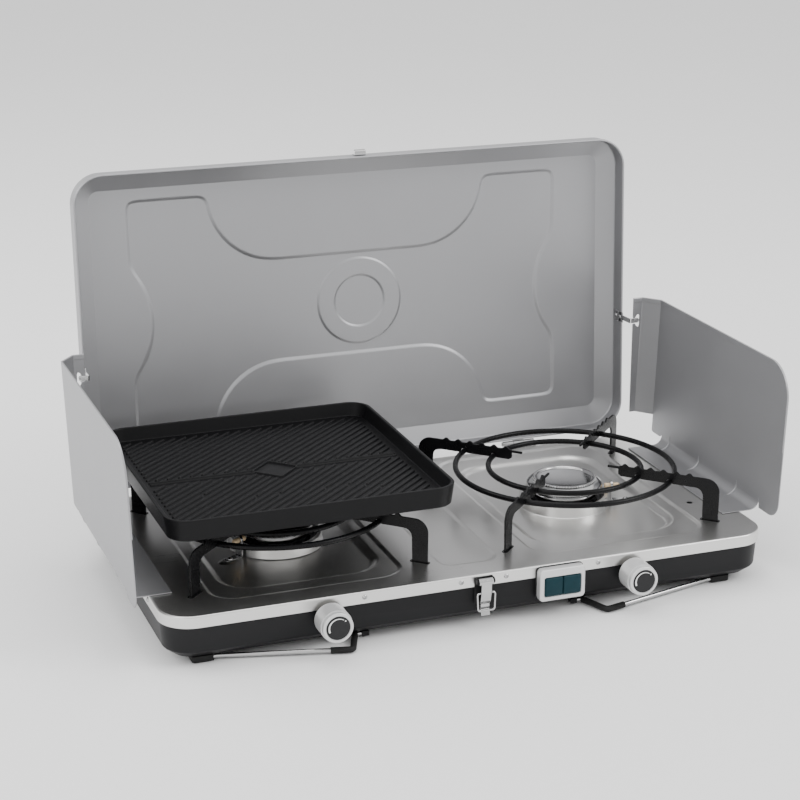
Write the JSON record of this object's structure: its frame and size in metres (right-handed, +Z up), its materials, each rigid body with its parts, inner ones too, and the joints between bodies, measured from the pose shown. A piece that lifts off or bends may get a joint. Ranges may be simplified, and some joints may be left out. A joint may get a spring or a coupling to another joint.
{
  "type": "camping stove",
  "caption": "Tabletop gas camping stove with raised lid, side windshields, wire pan supports, ribbed griddle, knobs, push igniter and toggle latch.",
  "frame": {"origin": "centre of the bounding box in X and Y, on the surface the stove stands on", "axes": "+X to the right of someone facing the knobs, +Y from the knobs towards the lid, +Z up"},
  "size_m": [0.64, 0.3852, 0.3772],
  "materials": {
    "stainless": "brushed along the width",
    "chrome": "bright plated",
    "black_paint": "satin black powder coat",
    "silver_paint": "silver-grey metallic powder coat",
    "black_enamel": "semi-gloss black coat",
    "nonstick": "cast, with a matt black non-stick coating",
    "brass": "machined",
    "gas_pipe": "drawn tube",
    "ceramic": "unglazed ceramic",
    "rubber": "moulded",
    "knob_plastic": "silver moulded plastic",
    "button_plastic": "dark teal moulded plastic",
    "black_plastic": "moulded"
  },
  "bodies": {
    "base": {"base_pan": "black_paint", "hob_plate": "stainless", "foot_front_left": "rubber", "foot_front_right": "rubber", "foot_rear_left": "rubber", "foot_rear_right": "rubber", "leg_clip_left": "chrome", "leg_clip_right": "chrome", "mixing_tube_left": "stainless", "mixing_tube_right": "stainless", "burner_head_left": "chrome", "burner_head_right": "chrome", "burner_cap_left": "chrome", "burner_cap_right": "chrome", "electrode_left": "ceramic", "electrode_right": "ceramic", "gas_valve_left": "brass", "gas_valve_right": "brass", "gas_manifold": "gas_pipe", "gas_inlet": "brass", "igniter_bezel": "knob_plastic", "piezo_unit": "black_plastic", "latch_plate": "black_paint", "hinge_base_leaf_left": "chrome", "hinge_base_leaf_right": "chrome", "hinge_pin_left": "chrome", "hinge_pin_right": "chrome"},
    "lid": {"lid_shell": "silver_paint", "lid_strike": "chrome", "shield_hook_left": "chrome", "shield_hook_right": "chrome", "hinge_lid_leaf_left": "chrome", "hinge_lid_leaf_right": "chrome"},
    "shield_left": {"windshield_left": "silver_paint"},
    "shield_right": {"windshield_right": "silver_paint"},
    "support_left": {"support_ring_outer_left": "black_enamel", "support_ring_inner_left": "black_enamel", "support_arm_rear_right_left": "black_enamel", "support_arm_rear_left_left": "black_enamel", "support_arm_front_left_left": "black_enamel", "support_arm_front_right_left": "black_enamel"},
    "support_right": {"support_ring_outer_right": "black_enamel", "support_ring_inner_right": "black_enamel", "support_arm_rear_right_right": "black_enamel", "support_arm_rear_left_right": "black_enamel", "support_arm_front_left_right": "black_enamel", "support_arm_front_right_right": "black_enamel"},
    "griddle": {"griddle": "nonstick"},
    "stem_left": {"valve_stem_left": "brass"},
    "knob_left": {"knob_left": "knob_plastic"},
    "button_left": {"igniter_button_left": "button_plastic"},
    "stem_right": {"valve_stem_right": "brass"},
    "knob_right": {"knob_right": "knob_plastic"},
    "button_right": {"igniter_button_right": "button_plastic"},
    "latch_lever": {"latch_lever": "chrome"},
    "latch_loop": {"latch_loop": "chrome"},
    "leg_left": {"wire_leg_left": "chrome", "leg_sleeve_left": "rubber"},
    "leg_right": {"wire_leg_right": "chrome", "leg_sleeve_right": "rubber"}
  },
  "joints": [
    {"name": "lid_hinge", "type": "hinge", "parent": "base", "child": "lid", "pos_m": [0, 0.14843, 0.0525], "axis": [1, 0, 0], "range_deg": [0, 30]},
    {"name": "shield_left_slide", "type": "slide", "parent": "base", "child": "shield_left", "axis": [-1, 0, 0], "range_m": [0, 0.06]},
    {"name": "shield_right_slide", "type": "slide", "parent": "base", "child": "shield_right", "axis": [1, 0, 0], "range_m": [0, 0.06]},
    {"name": "support_left_lift", "type": "slide", "parent": "base", "child": "support_left", "axis": [0, 0, -1], "range_m": [-0.1, 0]},
    {"name": "support_right_lift", "type": "slide", "parent": "base", "child": "support_right", "axis": [0, 0, -1], "range_m": [-0.1, 0]},
    {"name": "griddle_lift", "type": "slide", "parent": "support_left", "child": "griddle", "axis": [0, 0, -1], "range_m": [-0.1, 0]},
    {"name": "stem_left_push", "type": "slide", "parent": "base", "child": "stem_left", "axis": [0, 1, 0], "range_m": [0, 0.003], "stiffness_N_per_m": 600, "springref_m": -0.002},
    {"name": "knob_left_turn", "type": "hinge", "parent": "stem_left", "child": "knob_left", "pos_m": [-0.148, -0.16907, 0.032], "axis": [0, -1, 0], "range_deg": [0, 180]},
    {"name": "stem_right_push", "type": "slide", "parent": "base", "child": "stem_right", "axis": [0, 1, 0], "range_m": [0, 0.003], "stiffness_N_per_m": 600, "springref_m": -0.002},
    {"name": "knob_right_turn", "type": "hinge", "parent": "stem_right", "child": "knob_right", "pos_m": [0.148, -0.16907, 0.032], "axis": [0, -1, 0], "range_deg": [0, 180]},
    {"name": "button_left_press", "type": "slide", "parent": "base", "child": "button_left", "axis": [0, 1, 0], "range_m": [0, 0.004], "stiffness_N_per_m": 600, "springref_m": -0.002},
    {"name": "button_right_press", "type": "slide", "parent": "base", "child": "button_right", "axis": [0, 1, 0], "range_m": [0, 0.004], "stiffness_N_per_m": 600, "springref_m": -0.002},
    {"name": "latch_lever_pivot", "type": "hinge", "parent": "base", "child": "latch_lever", "pos_m": [0, -0.16907, 0.0445], "axis": [-1, 0, 0], "range_deg": [0, 110]},
    {"name": "latch_loop_pivot", "type": "hinge", "parent": "latch_lever", "child": "latch_loop", "pos_m": [0, -0.17087, 0.0345], "axis": [-1, 0, 0], "range_deg": [0, 70]},
    {"name": "leg_left_fold", "type": "hinge", "parent": "base", "child": "leg_left", "pos_m": [-0.246, -0.14857, 0.0031], "axis": [1, 0, 0], "range_deg": [0, 95]},
    {"name": "leg_right_fold", "type": "hinge", "parent": "base", "child": "leg_right", "pos_m": [0.2375, -0.14857, 0.0031], "axis": [1, 0, 0], "range_deg": [0, 95]}
  ]
}
